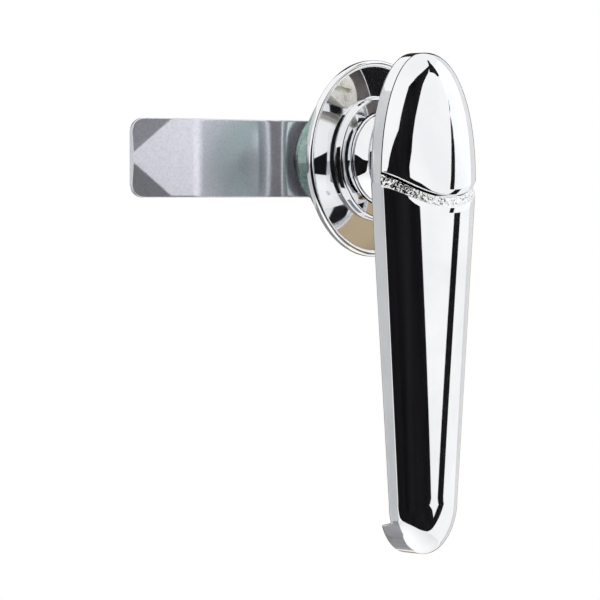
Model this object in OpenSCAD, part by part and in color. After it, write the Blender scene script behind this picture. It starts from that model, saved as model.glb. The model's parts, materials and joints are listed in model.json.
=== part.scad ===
// Cabinet handle lock. A chromed lever on a round rose turns a bent cam behind the door.
// A swivelling key cover hides a wafer cylinder, whose tail pushes a bolt into the rose.
// Axes: +X right seen from the front, +Y into the cabinet, +Z up. The origin is on the
// turning axis, at the outer face of the door. Inside the modules x is right, y is up and
// z is the height in front of the door, and front_view() turns that into the axes above.

/* [Rose] */
// Diameter of the rose
rose_d = 48; // [44:1:60]
// Height of the rounded rim
rim_h = 1.9; // [1.7:0.1:3]
// Width of the rounded rim
rim_w = 1.4; // [1.2:0.1:2]
// Thickness of the flat floor inside the rim
floor_h = 1.2; // [1.1:0.1:1.5]
// Diameter of the collar round the neck
collar_d = 29.8; // [28.6:0.2:31]
// Height of the collar
collar_h = 3.4; // [3.3:0.1:4.4]
// Rounding of the collar's top edge
collar_round = 0.6; // [0.4:0.1:1]
// Fillet between the floor and the collar
collar_fillet = 0.4; // [0.2:0.1:0.8]
// Rounding of the rose's back edge
rose_edge = 0.3; // [0.2:0.1:0.5]
// Inner diameter of the gasket groove
gasket_d = 32; // [30:0.5:36]
// Width of the gasket
gasket_w = 3.6; // [2:0.2:5]
// Thickness of the gasket
gasket_t = 0.6; // [0.4:0.1:0.7]

/* [Barrel and nut] */
// Outside diameter of the threaded barrel
barrel_d = 22; // [21.6:0.1:23]
// Distance across the two flats of the barrel
barrel_flat = 20.6; // [20.4:0.1:21.4]
// Length of the barrel behind the door
barrel_l = 14; // [12:0.5:18]
// Thickness of the door
panel_t = 2.5; // [2.2:0.1:4]
// Distance across the flats of the nut
nut_af = 28; // [27:0.5:30]
// Thickness of the nut
nut_t = 7.5; // [5:0.5:9]
// Width left flat beside the nut's chamfer
nut_edge = 0.4; // [0.2:0.1:0.8]
// Angle that the tightened nut came to rest at
nut_turn = 4; // [0:1:30]
// Thickness of the tooth washer
tooth_washer_t = 1; // [0.6:0.1:1.4]
// Distance of the washer's teeth inside the nut's corners
tooth_inset = 0.6; // [0.3:0.1:1]
// Number of teeth on the tooth washer
teeth = 16; // [10:1:24]

/* [Lever] */
// Greatest width of the lever
lever_w = 32.2; // [29:0.2:34]
// Height of the lever's top above the turning axis
lever_top = 25.4; // [24.6:0.2:28]
// Level of the greatest width, below the turning axis
widest_drop = 6; // [4:0.5:9]
// Width of the grip where its round end starts
grip_w = 20.8; // [16:0.2:24]
// Level where the round end starts, below the turning axis
grip_drop = 83; // [70:1:110]
// Length of the round end
end_l = 12.8; // [8:0.1:14]
// Fullness of the round top, where 2 is an ellipse
top_power = 2.2; // [2:0.1:2.6]
// Height of the lever's back at the head
back_h = 13.1; // [12.8:0.1:13.5]
// Height of the lever's back at the round end
grip_back_h = 14.2; // [13.4:0.1:15.4]
// Height of the edge where the side walls meet the crown
seam_h = 17; // [16.8:0.1:18.4]
// Height of the crown as a share of the lever's width
crown = 0.27; // [0.22:0.005:0.3]
// Depth of the finger lip behind the round end
lip_depth = 3.2; // [1:0.1:4]
// Length of the finger lip
lip_l = 8.2; // [5:0.1:9]
// Diameter of the lever's stem
stem_d = 18.8; // [18.4:0.1:19]
// Diameter of the flange that rests on the rose
flange_d = 22.6; // [22.2:0.1:23]
// Thickness of the flange
flange_t = 1.2; // [1.1:0.1:1.4]
// Height that the flange stands proud of the collar
flange_proud = 0.4; // [0.2:0.1:0.8]
// Width of the step between the flange and the neck
flange_step = 0.6; // [0.3:0.1:1]
// Smallest diameter of the neck
neck_d = 18.6; // [18:0.1:19.6]
// Diameter of the neck where it meets the head
neck_top_d = 23.4; // [21:0.2:25]

/* [Key cover] */
// Height of the cover's pivot above the turning axis
pivot_up = 16.5; // [15.5:0.1:17.5]
// Radius of the cover's lower edge about the pivot
cover_r = 25.6; // [25.2:0.1:27]
// Wall of the cover
cover_wall = 1.8; // [1.4:0.1:2.2]
// Width of the sunk ledge below the cover
ledge_w = 2.2; // [1.4:0.1:3]
// Depth of the sunk ledge below the crown
ledge_depth = 0.9; // [0.5:0.1:1.2]
// Diameter of the boss inside the cover
cover_boss_d = 7; // [6:0.2:8]
// Diameter of the cover screw's shoulder
cover_screw_d = 4; // [3.6:0.1:4.4]
// Diameter of the cover screw's thread
cover_thread_d = 3; // [2.5:0.1:3.4]
// Length of the thread in the boss
cover_thread_l = 3.4; // [2.5:0.1:3.8]
// Diameter of the cover screw's head
cover_head_d = 7.4; // [6.6:0.2:8]
// Thickness of the cover screw's head
cover_head_t = 2.1; // [1.6:0.1:2.6]
// Length of the cross in the screw's head
cover_cross_l = 4.6; // [3.6:0.1:5.2]
// Width of the cross in the screw's head
cover_cross_w = 1; // [0.7:0.1:1.3]
// Depth of the cross in the screw's head
cover_cross_depth = 1.1; // [0.7:0.1:1.3]
// Depth of the seat cut for the screw in the lever's back
cover_seat = 0.5; // [0.3:0.1:0.8]
// Thickness of the wave washer under the screw's head
wave_t = 0.5; // [0.3:0.05:0.8]
// Thickness of the slip washer under the cover
slip_t = 0.3; // [0.25:0.05:0.6]

/* [Lock cylinder] */
// Outside diameter of the cylinder
cylinder_d = 14; // [13.6:0.1:14.4]
// Diameter of the cylinder's front flange
cylinder_flange_d = 16; // [15:0.2:16.6]
// Thickness of the cylinder's front flange
cylinder_flange_t = 1.2; // [0.8:0.1:1.6]
// Depth of the cylinder's face below the cover's seat
cylinder_sink = 0.3; // [0.2:0.1:0.8]
// Diameter of the plug
plug_d = 10; // [9.6:0.1:10.4]
// Width of the keyway
keyway_w = 1.6; // [1.2:0.1:2]
// Height of the keyway
keyway_h = 6.4; // [5.8:0.1:6.8]
// Depth of the keyway
keyway_l = 8.8; // [8.6:0.1:9]
// Number of wafers
wafers_n = 4; // [3:1:5]
// Thickness of a wafer
wafer_t = 0.9; // [0.6:0.05:1]
// Spacing of the wafers
wafer_pitch = 1.8; // [1.5:0.05:1.9]
// Depth of the first wafer's middle below the plug's face
wafer_start = 2.2; // [1.8:0.1:2.4]
// Width of a wafer
wafer_w = 4; // [3.4:0.1:4.4]
// Height of a wafer
wafer_h = 7.6; // [7.4:0.1:8]
// Diameter of the pin that holds the cylinder
cylinder_pin_d = 2; // [1.6:0.1:2.4]
// Thickness of the plug's tail disc
tail_t = 1.6; // [1.3:0.1:1.8]
// Throw of the tail's crank pin
throw = 2.6; // [2.5:0.05:2.7]
// Diameter of the crank pin
crank_d = 1.8; // [1.6:0.05:1.9]
// Diameter of the tail screw's head
tail_head_d = 3; // [2.6:0.1:3.2]
// Diameter of the tail screw's thread
tail_thread_d = 2; // [1.6:0.1:2.2]
// Length of the tail screw's thread
tail_thread_l = 2.4; // [1.6:0.1:2.6]

/* [Lock bolt] */
// Width of the bolt
bolt_w = 9; // [8.6:0.1:9.4]
// Thickness of the bolt
bolt_t = 1.5; // [1.3:0.1:1.6]
// Height of the bolt's back face in front of the door
bolt_h = 0.6; // [0.5:0.1:0.7]
// Reach of the bolt's tail below the turning axis
bolt_tail = 5; // [4.6:0.1:5.4]

/* [Stop] */
// Diameter of the stop pin
stop_d = 2; // [1.6:0.1:2.2]
// Distance of the stop pin from the turning axis
stop_r = 10.75; // [10.7:0.05:10.9]
// Direction of the stop pin, from +X towards +Z
stop_dir = -20; // [-30:1:-10]
// Turn of the handle
handle_turn = 90; // [80:1:90]

/* [Rear end] */
// Thickness of the thrust washer
thrust_t = 0.8; // [0.5:0.1:1]
// Width of the thrust washer
thrust_w = 2; // [1.4:0.1:2.4]
// Thickness of the retaining ring
ring_t = 1.1; // [0.8:0.1:1.4]
// Depth of the retaining ring's groove
ring_depth = 0.9; // [0.6:0.1:1.2]
// Width of the retaining ring
ring_w = 2.3; // [1.8:0.1:2.8]
// Mouth of the retaining ring
ring_mouth = 3.6; // [2.5:0.1:5]
// Length of the stem behind the retaining ring
stem_tail = 1; // [0.8:0.1:2]
// Side of the square that carries the cam
square_s = 10; // [9:0.2:11]
// Thickness of the seal ring
seal_t = 1.1; // [0.9:0.1:1.3]
// Depth of the seal behind the door
seal_depth = 9; // [7:0.5:10]

/* [Cam] */
// Width of the cam
cam_w = 19; // [18:0.5:24]
// Thickness of the cam
cam_t = 2.5; // [2:0.1:3]
// Reach of the cam from the turning axis to its tip
cam_reach = 55.4; // [50:0.2:70]
// Distance from the axis to the start of the offset bend
cam_bend = 13; // [11:0.2:15]
// Length of the offset bend
cam_bend_l = 3.6; // [3:0.2:8]
// Offset of the arm behind the base
cam_offset = 3.6; // [3:0.2:6]
// Front radius of the crease where the offset bend starts
cam_crease_r = 3; // [2.8:0.1:3.4]
// Front radius where the offset bend runs into the arm
cam_soft_r = 6; // [4:0.5:7]
// Distance from the axis to the soft bend before the tip
cam_tip_bend = 39.4; // [30:0.2:44]
// Angle of the tip behind the arm
cam_tip_angle = 20; // [8:1:24]
// Front radius of the soft bend before the tip
cam_tip_r = 10; // [6:0.5:14]
// Length of the base on the other side of the axis
cam_heel = 10; // [9:0.5:14]
// Rounding of the cam's corners
cam_round = 3; // [1:0.5:5]
// Length of the lead-in facets at the tip
lead_l = 9.5; // [5:0.5:11]
// Depth of the lead-in facets at the corners
lead_depth = 1.3; // [0.8:0.1:1.6]
// Width left between the two lead-in facets at the tip
lead_gap = 2.6; // [1:0.2:6]
// Diameter of the cam screw
cam_screw_d = 6; // [5:0.5:6]
// Distance across the flats of the cam screw's head
cam_head_af = 10; // [8:0.5:11]
// Thickness of the cam screw's head
cam_head_t = 4; // [3:0.2:5]
// Width of the cam screw's chamfer inside the flats
cam_head_edge = 0.1; // [0.05:0.05:0.3]
// Length of the cam screw's thread in the stem
cam_thread_l = 9; // [7:0.5:11]
// Diameter of the flat washer
cam_washer_d = 16; // [15:0.5:18]
// Thickness of the flat washer
cam_washer_t = 1.4; // [1:0.1:1.8]
// Outside diameter of the spring washer
spring_washer_d = 10.6; // [10:0.2:12]
// Thickness of the spring washer
spring_washer_t = 1.6; // [1.2:0.1:2]
// Gap between the ends of the spring washer
spring_gap = 0.8; // [0.5:0.1:1.2]
// Slant of that gap
spring_slant = 25; // [15:1:35]

/* [Hidden] */
// Clearance of the stem in the rose
stem_clear = 0.15;
// Clearance between faces that run past each other
face_gap = 0.1;
// Clearance of a piece that is fixed in its hole
fixed_clear = 0.05;
// Clearance of a pin that is pressed into its hole
press_clear = 0.01;
// Clearance of a piece that turns or slides
run_clear = 0.15;
// Clearance of the crank pin in the bolt
crank_clear = 0.25;
// Clearance between the cover's edge and the ledge
cover_clear = 0.4;
// Wall left between the end of a hole and the next space
end_wall = 0.3;
// Extra depth that a cut runs past a face
past = 1;
// Slope of the chamfers on hexagons, from the axis
chamfer_angle = 60;
// Direction of the crank pin at rest, below +X
crank_dir = 45;
// Growth of the lead-in wedges past their three corners
wedge_grow = 1.6;

$fn = 64;

rose_r = rose_d / 2;
collar_r = collar_d / 2;
barrel_r = barrel_d / 2;
stem_r = stem_d / 2;
flange_r = flange_d / 2;
bore_r = stem_r + stem_clear;

// Heights of the flange in its seat in the collar
flange_top = collar_h + flange_proud;
flange_low = flange_top - flange_t;
seat_low = flange_low - face_gap;
groove_top = flange_low + flange_t / 2;
stop_top = groove_top - face_gap;

// Lock cylinder, from its face back to the bolt
cylinder_face = seam_h - cylinder_sink;
bolt_top = bolt_h + bolt_t;
channel_low = bolt_h - run_clear;
channel_top = bolt_top + run_clear;
tail_low = channel_top + run_clear;
tail_top = tail_low + tail_t;
plug_face = cylinder_face - face_gap;
cylinder_low = tail_top + face_gap;
bolt_travel = 2 * throw * sin(crank_dir);
bolt_reach = stem_r - run_clear;

// Rear stack, as depths behind the door
nut_front = panel_t + tooth_washer_t;
nut_back = nut_front + nut_t;
nut_corner_r = nut_af / 2 / cos(30);
tooth_r = nut_corner_r - tooth_inset;
thrust_front = barrel_l + face_gap;
ring_front = thrust_front + thrust_t + face_gap;
ring_back = ring_front + ring_t;
stem_end = ring_back + stem_tail;
cam_back = stem_end + cam_t;
washer_back = cam_back + cam_washer_t;
spring_back = washer_back + spring_washer_t;
ring_in_r = stem_r - ring_depth;

// Cover pieces, as heights in front of the door
crown_top = seam_h + crown * lever_w;
cover_low = seam_h + slip_t;
screw_seat = back_h + cover_seat;
screw_head_top = screw_seat - wave_t;

// Turns x right, y up, z out of the door into the part's own axes
module front_view() { rotate([90, 0, 0]) children(); }

// A plain ring between two heights
module ring(r_out, r_in, low, top) {
    translate([0, 0, low])
        difference() {
            cylinder(r = r_out, h = top - low);
            translate([0, 0, -past]) cylinder(r = r_in, h = top - low + 2 * past);
        }
}

// A round bar between two heights
module bar(r, low, top) { translate([0, 0, low]) cylinder(r = r, h = top - low); }

// A box centred on x, between two levels and two heights
module slab(w, y0, y1, low, top) { translate([-w / 2, y0, low]) cube([w, y1 - y0, top - low]); }

// Points of an arc in a profile
function arc(cx, cy, rx, ry, from, to, n) =
    [for (i = [0 : n]) let (a = from + (to - from) * i / n) [cx + rx * cos(a), cy + ry * sin(a)]];

// Levels and half widths down the lever, drawn in by an inset
top_steps = 13;
grip_steps = 7;
end_steps = 7;
tip_share = 0.06;
function top_station(i, inset) =
    let (a = 90 * (1 - tip_share) * (1 - i / top_steps), p = 2 / top_power)
    [-widest_drop + (lever_top + widest_drop - inset) * pow(sin(a), p),
        (lever_w / 2 - inset) * pow(cos(a), p)];
function grip_station(i, inset) =
    let (s = i / grip_steps)
    [-widest_drop - (grip_drop - widest_drop) * s,
        lever_w / 2 - inset - (lever_w - grip_w) / 2 * s];
function end_station(i, inset) =
    let (a = 90 * (1 - tip_share / 2) * i / end_steps)
    [-grip_drop - (end_l - inset) * sin(a), (grip_w / 2 - inset) * cos(a)];
function stations(inset) = concat(
    [for (i = [0 : top_steps]) top_station(i, inset)],
    [for (i = [1 : grip_steps]) grip_station(i, inset)],
    [for (i = [1 : end_steps]) end_station(i, inset)]);

// Height of the lever's flat back at a level
function back_at(y) =
    back_h + (grip_back_h - back_h) * min(1, max(0, (lever_top - y) / (lever_top + grip_drop)));

// One cross-section: flat back, straight sides, and an elliptic crown
crown_steps = 18;
least_rise = 0.1;
function section(station, inset) =
    let (y = station[0], w = station[1], rise = max(least_rise, 2 * crown * (w + inset) - inset))
    concat([[w, y, back_at(y)]],
        [for (i = [0 : crown_steps]) let (a = 180 * i / crown_steps)
            [w * cos(a), y, seam_h + rise * sin(a)]],
        [[-w, y, back_at(y)]]);

// The lever's whole outer form, lofted from top to bottom
module lever_form(inset = 0) {
    st = stations(inset);
    n = crown_steps + 3;
    rows = len(st);
    points = [for (s = st) each section(s, inset)];
    sides = [for (r = [0 : rows - 2], c = [0 : n - 1]) let (d = (c + 1) % n)
        each [[r * n + c, (r + 1) * n + c, (r + 1) * n + d], [r * n + c, (r + 1) * n + d, r * n + d]]];
    first = [for (c = [0 : n - 1]) c];
    last = [for (c = [n - 1 : -1 : 0]) (rows - 1) * n + c];
    polyhedron(points, concat(sides, [first, last]), convexity = 6);
}

// The room that the cover takes out of the lever
module cover_room() {
    translate([0, pivot_up, 0]) bar(cover_r + cover_clear, seam_h, crown_top + past);
}

// The sunk ledge that follows the cover's lower edge
module ledge_room() {
    difference() {
        translate([0, pivot_up, 0]) bar(cover_r + cover_clear + ledge_w, seam_h, crown_top + past);
        lever_form(ledge_depth);
    }
}

module rose_profile() {
    tip_r = rim_w / 2;
    polygon(concat(
        [[bore_r, 0]],
        arc(rose_r - rose_edge, rose_edge, rose_edge, rose_edge, -90, 0, 4),
        arc(rose_r - tip_r, rim_h - tip_r, tip_r, tip_r, 0, 180, 10),
        [[rose_r - rim_w, floor_h]],
        arc(collar_r + collar_fillet, floor_h + collar_fillet, collar_fillet, collar_fillet, 270, 180, 4),
        arc(collar_r - collar_round, collar_h - collar_round, collar_round, collar_round, 0, 90, 6),
        [[flange_r + stem_clear, collar_h], [flange_r + stem_clear, seat_low], [bore_r, seat_low]]));
}

// Room for the bolt in the wall of the rose
module bolt_notch() {
    slab(bolt_w + 4 * run_clear, stem_r - past, bolt_reach + bolt_travel + 2 * run_clear,
        channel_low, channel_top);
}

module rose() {
    color("gainsboro")
        front_view()
            difference() {
                union() {
                    rotate_extrude() rose_profile();
                    intersection() {
                        ring(barrel_r, bore_r, -barrel_l, past);
                        slab(barrel_flat, -barrel_r, barrel_r, -barrel_l, past);
                    }
                }
                ring(gasket_d / 2 + gasket_w, gasket_d / 2, -past, gasket_t);
                for (a = [0, handle_turn]) rotate([0, 0, a]) bolt_notch();
                rotate([0, 0, stop_dir]) translate([stop_r, 0, 0]) bar(stop_d / 2, channel_low, stop_top);
            }
}

module panel_gasket() {
    color("#202022")
        front_view()
            ring(gasket_d / 2 + gasket_w - fixed_clear, gasket_d / 2 + fixed_clear, 0, gasket_t);
}

module tooth_washer() {
    tooth_l = tooth_r - nut_af / 2;
    root_r = tooth_r - tooth_l / 2;
    color("silver")
        front_view()
            difference() {
                union() {
                    bar(root_r, -nut_front, -panel_t);
                    for (i = [0 : teeth - 1])
                        rotate([0, 0, 360 * i / teeth])
                            translate([0, -tooth_l / 2, -nut_front])
                                cube([tooth_r, tooth_l, tooth_washer_t]);
                }
                bar(barrel_r + fixed_clear, -nut_front - past, past);
            }
}

module fixing_nut() {
    chamfer_r = nut_af / 2 + nut_edge;
    color("silver")
        front_view()
            difference() {
                intersection() {
                    rotate([0, 0, nut_turn])
                        translate([0, 0, -nut_back]) cylinder(r = nut_corner_r, h = nut_t, $fn = 6);
                    // Turned chamfer on the corners
                    translate([0, 0, -nut_back])
                        cylinder(r1 = chamfer_r, r2 = chamfer_r + nut_t * tan(chamfer_angle), h = nut_t);
                }
                bar(barrel_r + fixed_clear, -nut_back - past, past);
            }
}

module stop_pin() {
    color("dimgray")
        front_view()
            rotate([0, 0, stop_dir])
                translate([stop_r, 0, 0])
                    bar(stop_d / 2 - press_clear, channel_low, stop_top);
}

// Pie slice from the axis outwards, between two directions
module pie(from, to, r, low, top) {
    steps = 12;
    translate([0, 0, low])
        linear_extrude(top - low)
            polygon(concat([[0, 0]],
                [for (i = [0 : steps]) let (a = from + (to - from) * i / steps) r * [cos(a), sin(a)]]));
}

// Groove under the flange that the stop pin runs in
module stop_groove() {
    slack = asin((stop_d / 2 + run_clear) / stop_r);
    difference() {
        pie(stop_dir - handle_turn - slack, stop_dir + slack, flange_r + past,
            flange_low - past, groove_top);
        bar(stop_r - stop_d / 2 - run_clear, flange_low - 2 * past, flange_top);
    }
}

// The flared neck between the flange and the head
module neck() {
    steps = 10;
    reach = back_h + cover_seat - flange_top;
    waist = neck_d / 2;
    rotate_extrude()
        polygon(concat([[0, flange_low], [flange_r, flange_low], [flange_r, flange_top]],
            [for (i = [0 : steps])
                let (s = i / steps, edge = s < 0.5 ? flange_r - flange_step : neck_top_d / 2)
                [waist + (edge - waist) * pow(abs(2 * s - 1), 2), flange_top + reach * s]],
            [[0, flange_top + reach]]));
}

// The finger lip behind the round end
module finger_lip() {
    rows = [for (s = stations(0)) if (s[0] < -grip_drop - end_l + lip_l) s];
    back = back_at(-grip_drop - end_l);
    translate([0, 0, back - lip_depth])
        linear_extrude(lip_depth + past)
            polygon(concat([for (s = rows) [s[1], s[0]]],
                [for (i = [len(rows) - 1 : -1 : 0]) [-rows[i][1], rows[i][0]]]));
}

module lever() {
    color("gainsboro")
        front_view()
            difference() {
                union() {
                    lever_form();
                    finger_lip();
                    neck();
                    bar(stem_r, -stem_end, flange_low + past);
                    slab(square_s, -square_s / 2, square_s / 2, -cam_back + end_wall, -stem_end + past);
                }
                cover_room();
                ledge_room();
                stop_groove();
                // Bore of the lock cylinder, with the chamber for its tail
                bar(cylinder_flange_d / 2 + fixed_clear, cylinder_face - cylinder_flange_t, seam_h + past);
                bar(cylinder_d / 2 + fixed_clear, cylinder_low, seam_h);
                bar(plug_d / 2 + 3 * run_clear, channel_low + past, cylinder_low + past);
                // Channel of the lock bolt, open towards the rose
                slab(bolt_w + 2 * run_clear, -bolt_tail - run_clear, stem_r + past, channel_low, channel_top);
                // Hole of the pin that holds the cylinder
                translate([0, 0, (cylinder_face + cylinder_low) / 2])
                    rotate([0, 90, 0]) cylinder(d = cylinder_pin_d, h = neck_top_d / 2);
                // Seat and hole of the cover screw
                translate([0, pivot_up, 0]) {
                    bar(cover_head_d / 2 + 3 * run_clear, back_h - past, screw_seat);
                    bar(cover_screw_d / 2 + run_clear, back_h - past, seam_h + past);
                }
                // Grooves of the seal and the retaining ring
                ring(stem_r + past, stem_r - seal_t - run_clear, -seal_depth - seal_t - 2 * run_clear, -seal_depth);
                ring(stem_r + past, ring_in_r, -ring_back - fixed_clear, -ring_front + fixed_clear);
                // Threaded hole of the cam screw
                bar(cam_screw_d / 2 + fixed_clear, -cam_back - past, -stem_end + cam_thread_l + end_wall);
            }
}

module stem_seal() {
    minor = seal_t / 2;
    color("#202022")
        front_view()
            translate([0, 0, -seal_depth - minor - run_clear])
                rotate_extrude() translate([stem_r - run_clear / 2 - minor, 0]) circle(r = minor, $fn = 24);
}

module thrust_washer() {
    color("silver")
        front_view()
            ring(stem_r + fixed_clear + thrust_w, stem_r + fixed_clear, -thrust_front - thrust_t, -thrust_front);
}

module retaining_ring() {
    color("dimgray")
        front_view()
            difference() {
                ring(ring_in_r + fixed_clear + ring_w, ring_in_r + fixed_clear, -ring_back, -ring_front);
                slab(ring_mouth, -stem_r - ring_w - past, 0, -ring_back - past, -ring_front + past);
            }
}

// Direction across a strip at a corner of its path, long enough to keep the strip's thickness
function across(a, b) = let (d = (b - a) / norm(b - a)) [d[1], -d[0]];
function mitre(path, i) =
    let (m = len(path) - 1, before = across(path[max(0, i - 1)], path[max(1, i)]),
        after = across(path[min(m - 1, i)], path[min(m, i + 1)]))
    (before + after) / (1 + before * after);

// Points of the arc that rounds the corner c between a and b
bend_steps = 5;
function turn(a, c, b, r) =
    let (u = (a - c) / norm(a - c), v = (b - c) / norm(b - c), half = acos(u * v) / 2,
        middle = c + (u + v) / norm(u + v) * r / sin(half), from = c + u * r / tan(half) - middle,
        way = u[0] * v[1] - u[1] * v[0] > 0 ? -1 : 1)
    [for (i = [0 : bend_steps]) let (w = way * (180 - 2 * half) * i / bend_steps)
        middle + [from[0] * cos(w) - from[1] * sin(w), from[0] * sin(w) + from[1] * cos(w)]];

// The cam's side profile: x along the door and depth behind it
module cam_profile() {
    drop = (cam_reach - cam_tip_bend) * tan(cam_tip_angle);
    heel = [cam_heel, stem_end];
    crease = [-cam_bend, stem_end];
    soft = [-cam_bend - cam_bend_l, stem_end + cam_offset];
    bend = [-cam_tip_bend, stem_end + cam_offset];
    tip = [-cam_reach, stem_end + cam_offset + drop];
    front = concat([heel], turn(heel, crease, soft, cam_crease_r), turn(crease, soft, bend, cam_soft_r),
        turn(soft, bend, tip, cam_tip_r), [tip]);
    rear = [for (i = [len(front) - 1 : -1 : 0]) front[i] + cam_t * mitre(front, i)];
    polygon(concat(front, rear));
}

// The cam's outline seen from the front, with round corners
module cam_outline() {
    half = cam_w / 2 - cam_round;
    polygon(concat(
        arc(cam_heel - cam_round, half, cam_round, cam_round, 0, 90, 6),
        arc(-cam_reach + cam_round, half, cam_round, cam_round, 90, 180, 6),
        arc(-cam_reach + cam_round, -half, cam_round, cam_round, 180, 270, 6),
        arc(cam_heel - cam_round, -half, cam_round, cam_round, 270, 360, 6)));
}

// One lead-in facet across a corner of the tip, cut by a wedge that runs past the edges
module lead_in(side) {
    drop = (cam_reach - cam_tip_bend) * tan(cam_tip_angle);
    tip_front = -stem_end - cam_offset - drop;
    on_side = [-cam_reach + lead_l, side * cam_w / 2, tip_front + lead_l * tan(cam_tip_angle)];
    on_tip = [-cam_reach, side * lead_gap / 2, tip_front];
    corner = [-cam_reach, side * cam_w / 2, tip_front - lead_depth];
    middle = (on_side + on_tip) / 2;
    low = middle + wedge_grow * (corner - middle);
    points = [middle + wedge_grow * (on_side - middle), middle + wedge_grow * (on_tip - middle),
        low, low + [0, 0, lead_l]];
    faces = [[0, 1, 2], [0, 3, 1], [1, 3, 2], [2, 3, 0]];
    turned = [for (f = faces) [f[2], f[1], f[0]]];
    polyhedron(points, side > 0 ? turned : faces);
}

module cam() {
    deep = stem_end + cam_offset + cam_t + cam_reach;
    color("lightsteelblue")
        front_view()
            difference() {
                intersection() {
                    translate([0, cam_w / 2, 0])
                        rotate([90, 0, 0])
                            linear_extrude(cam_w) mirror([0, 1]) cam_profile();
                    translate([0, 0, -deep]) linear_extrude(deep) cam_outline();
                }
                slab(square_s + 2 * fixed_clear, -square_s / 2 - fixed_clear, square_s / 2 + fixed_clear,
                    -cam_back - past, -stem_end + past);
                for (side = [-1, 1]) lead_in(side);
            }
}

module cam_washer() {
    color("silver")
        front_view()
            ring(cam_washer_d / 2, cam_screw_d / 2 + run_clear, -washer_back, -cam_back);
}

module cam_spring_washer() {
    color("dimgray")
        front_view()
            difference() {
                ring(spring_washer_d / 2, cam_screw_d / 2 + run_clear, -spring_back, -washer_back);
                translate([0, 0, -(washer_back + spring_back) / 2])
                    rotate([0, spring_slant, 0])
                        slab(spring_gap, 0, spring_washer_d, -spring_washer_d, spring_washer_d);
            }
}

module cam_screw() {
    corner_r = cam_head_af / 2 / cos(30);
    chamfer_r = cam_head_af / 2 - cam_head_edge;
    head_back = spring_back + cam_head_t;
    color("silver")
        front_view() {
            intersection() {
                translate([0, 0, -head_back]) cylinder(r = corner_r, h = cam_head_t, $fn = 6);
                translate([0, 0, -head_back])
                    cylinder(r1 = chamfer_r, r2 = chamfer_r + cam_head_t * tan(chamfer_angle), h = cam_head_t);
            }
            bar(cam_screw_d / 2, -spring_back - fixed_clear, -stem_end + cam_thread_l);
        }
}

module cylinder_shell() {
    color("gold")
        front_view()
            difference() {
                union() {
                    bar(cylinder_d / 2, cylinder_low + fixed_clear, cylinder_face);
                    bar(cylinder_flange_d / 2, cylinder_face - cylinder_flange_t, cylinder_face);
                }
                bar(plug_d / 2 + run_clear, cylinder_low - past, cylinder_face + past);
                translate([0, 0, (cylinder_face + cylinder_low) / 2])
                    rotate([0, 90, 0]) cylinder(d = cylinder_pin_d, h = cylinder_d);
            }
}

module cylinder_pin() {
    tip = plug_d / 2 + 2 * run_clear;
    color("dimgray")
        front_view()
            translate([tip, 0, (cylinder_face + cylinder_low) / 2])
                rotate([0, 90, 0])
                    cylinder(d = cylinder_pin_d - fixed_clear, h = neck_d / 2 - end_wall - tip);
}

// Height of each wafer's middle
function wafer_height(i) = plug_face - wafer_start - i * wafer_pitch;

module lock_plug() {
    color("goldenrod")
        front_view()
            difference() {
                bar(plug_d / 2, tail_top, plug_face);
                slab(keyway_w, -keyway_h / 2, keyway_h / 2, plug_face - keyway_l, plug_face + past);
                for (i = [0 : wafers_n - 1])
                    slab(wafer_w + 2 * fixed_clear, -wafer_h / 2 - fixed_clear, wafer_h / 2 + fixed_clear,
                        wafer_height(i) - wafer_t / 2 - fixed_clear, wafer_height(i) + wafer_t / 2 + fixed_clear);
                bar(tail_thread_d / 2 + fixed_clear, tail_top - past, tail_top + tail_thread_l + end_wall);
            }
}

module wafers() {
    window_w = keyway_w + 4 * run_clear;
    window_h = keyway_h - 6 * run_clear;
    color("khaki")
        front_view()
            for (i = [0 : wafers_n - 1])
                difference() {
                    slab(wafer_w, -wafer_h / 2, wafer_h / 2,
                        wafer_height(i) - wafer_t / 2, wafer_height(i) + wafer_t / 2);
                    slab(window_w, -window_h / 2, window_h / 2,
                        wafer_height(i) - wafer_t, wafer_height(i) + wafer_t);
                }
}

module plug_tail() {
    color("silver")
        front_view()
            difference() {
                union() {
                    bar(plug_d / 2 + run_clear, tail_low, tail_top);
                    rotate([0, 0, -crank_dir])
                        translate([throw, 0, 0])
                            bar(crank_d / 2, bolt_h + face_gap, tail_low + tail_t / 2);
                }
                bar(tail_head_d / 2 + fixed_clear, tail_low - past, tail_low + tail_t / 2);
                bar(tail_thread_d / 2 + fixed_clear, tail_low, tail_top + past);
            }
}

module tail_screw() {
    color("dimgray")
        front_view() {
            bar(tail_head_d / 2, tail_low + face_gap, tail_low + tail_t / 2);
            bar(tail_thread_d / 2, tail_low + tail_t / 2 - fixed_clear, tail_top + tail_thread_l);
        }
}

module lock_bolt() {
    slot_half = crank_d / 2 + crank_clear;
    crank_y = -throw * sin(crank_dir);
    slot_start = throw * cos(crank_dir) - slot_half;
    color("silver")
        front_view()
            difference() {
                intersection() {
                    slab(bolt_w, -bolt_tail, stem_r, bolt_h, bolt_top);
                    bar(bolt_reach, bolt_h - past, bolt_top + past);
                }
                translate([slot_start, crank_y - slot_half, bolt_h - past])
                    cube([bolt_w, 2 * slot_half, bolt_t + 2 * past]);
            }
}

module key_cover() {
    color("whitesmoke")
        front_view()
            difference() {
                intersection() {
                    lever_form();
                    translate([0, pivot_up, 0]) bar(cover_r, cover_low, crown_top + past);
                }
                // Hollow inside, round the boss of the pivot
                difference() {
                    intersection() {
                        lever_form(cover_wall);
                        translate([0, pivot_up, 0])
                            bar(cover_r - cover_wall, cover_low - past, crown_top);
                    }
                    translate([0, pivot_up, 0]) bar(cover_boss_d / 2, 0, crown_top);
                }
                translate([0, pivot_up, 0])
                    bar(cover_thread_d / 2 + fixed_clear, cover_low - past, cover_low + cover_thread_l + end_wall);
            }
}

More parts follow.
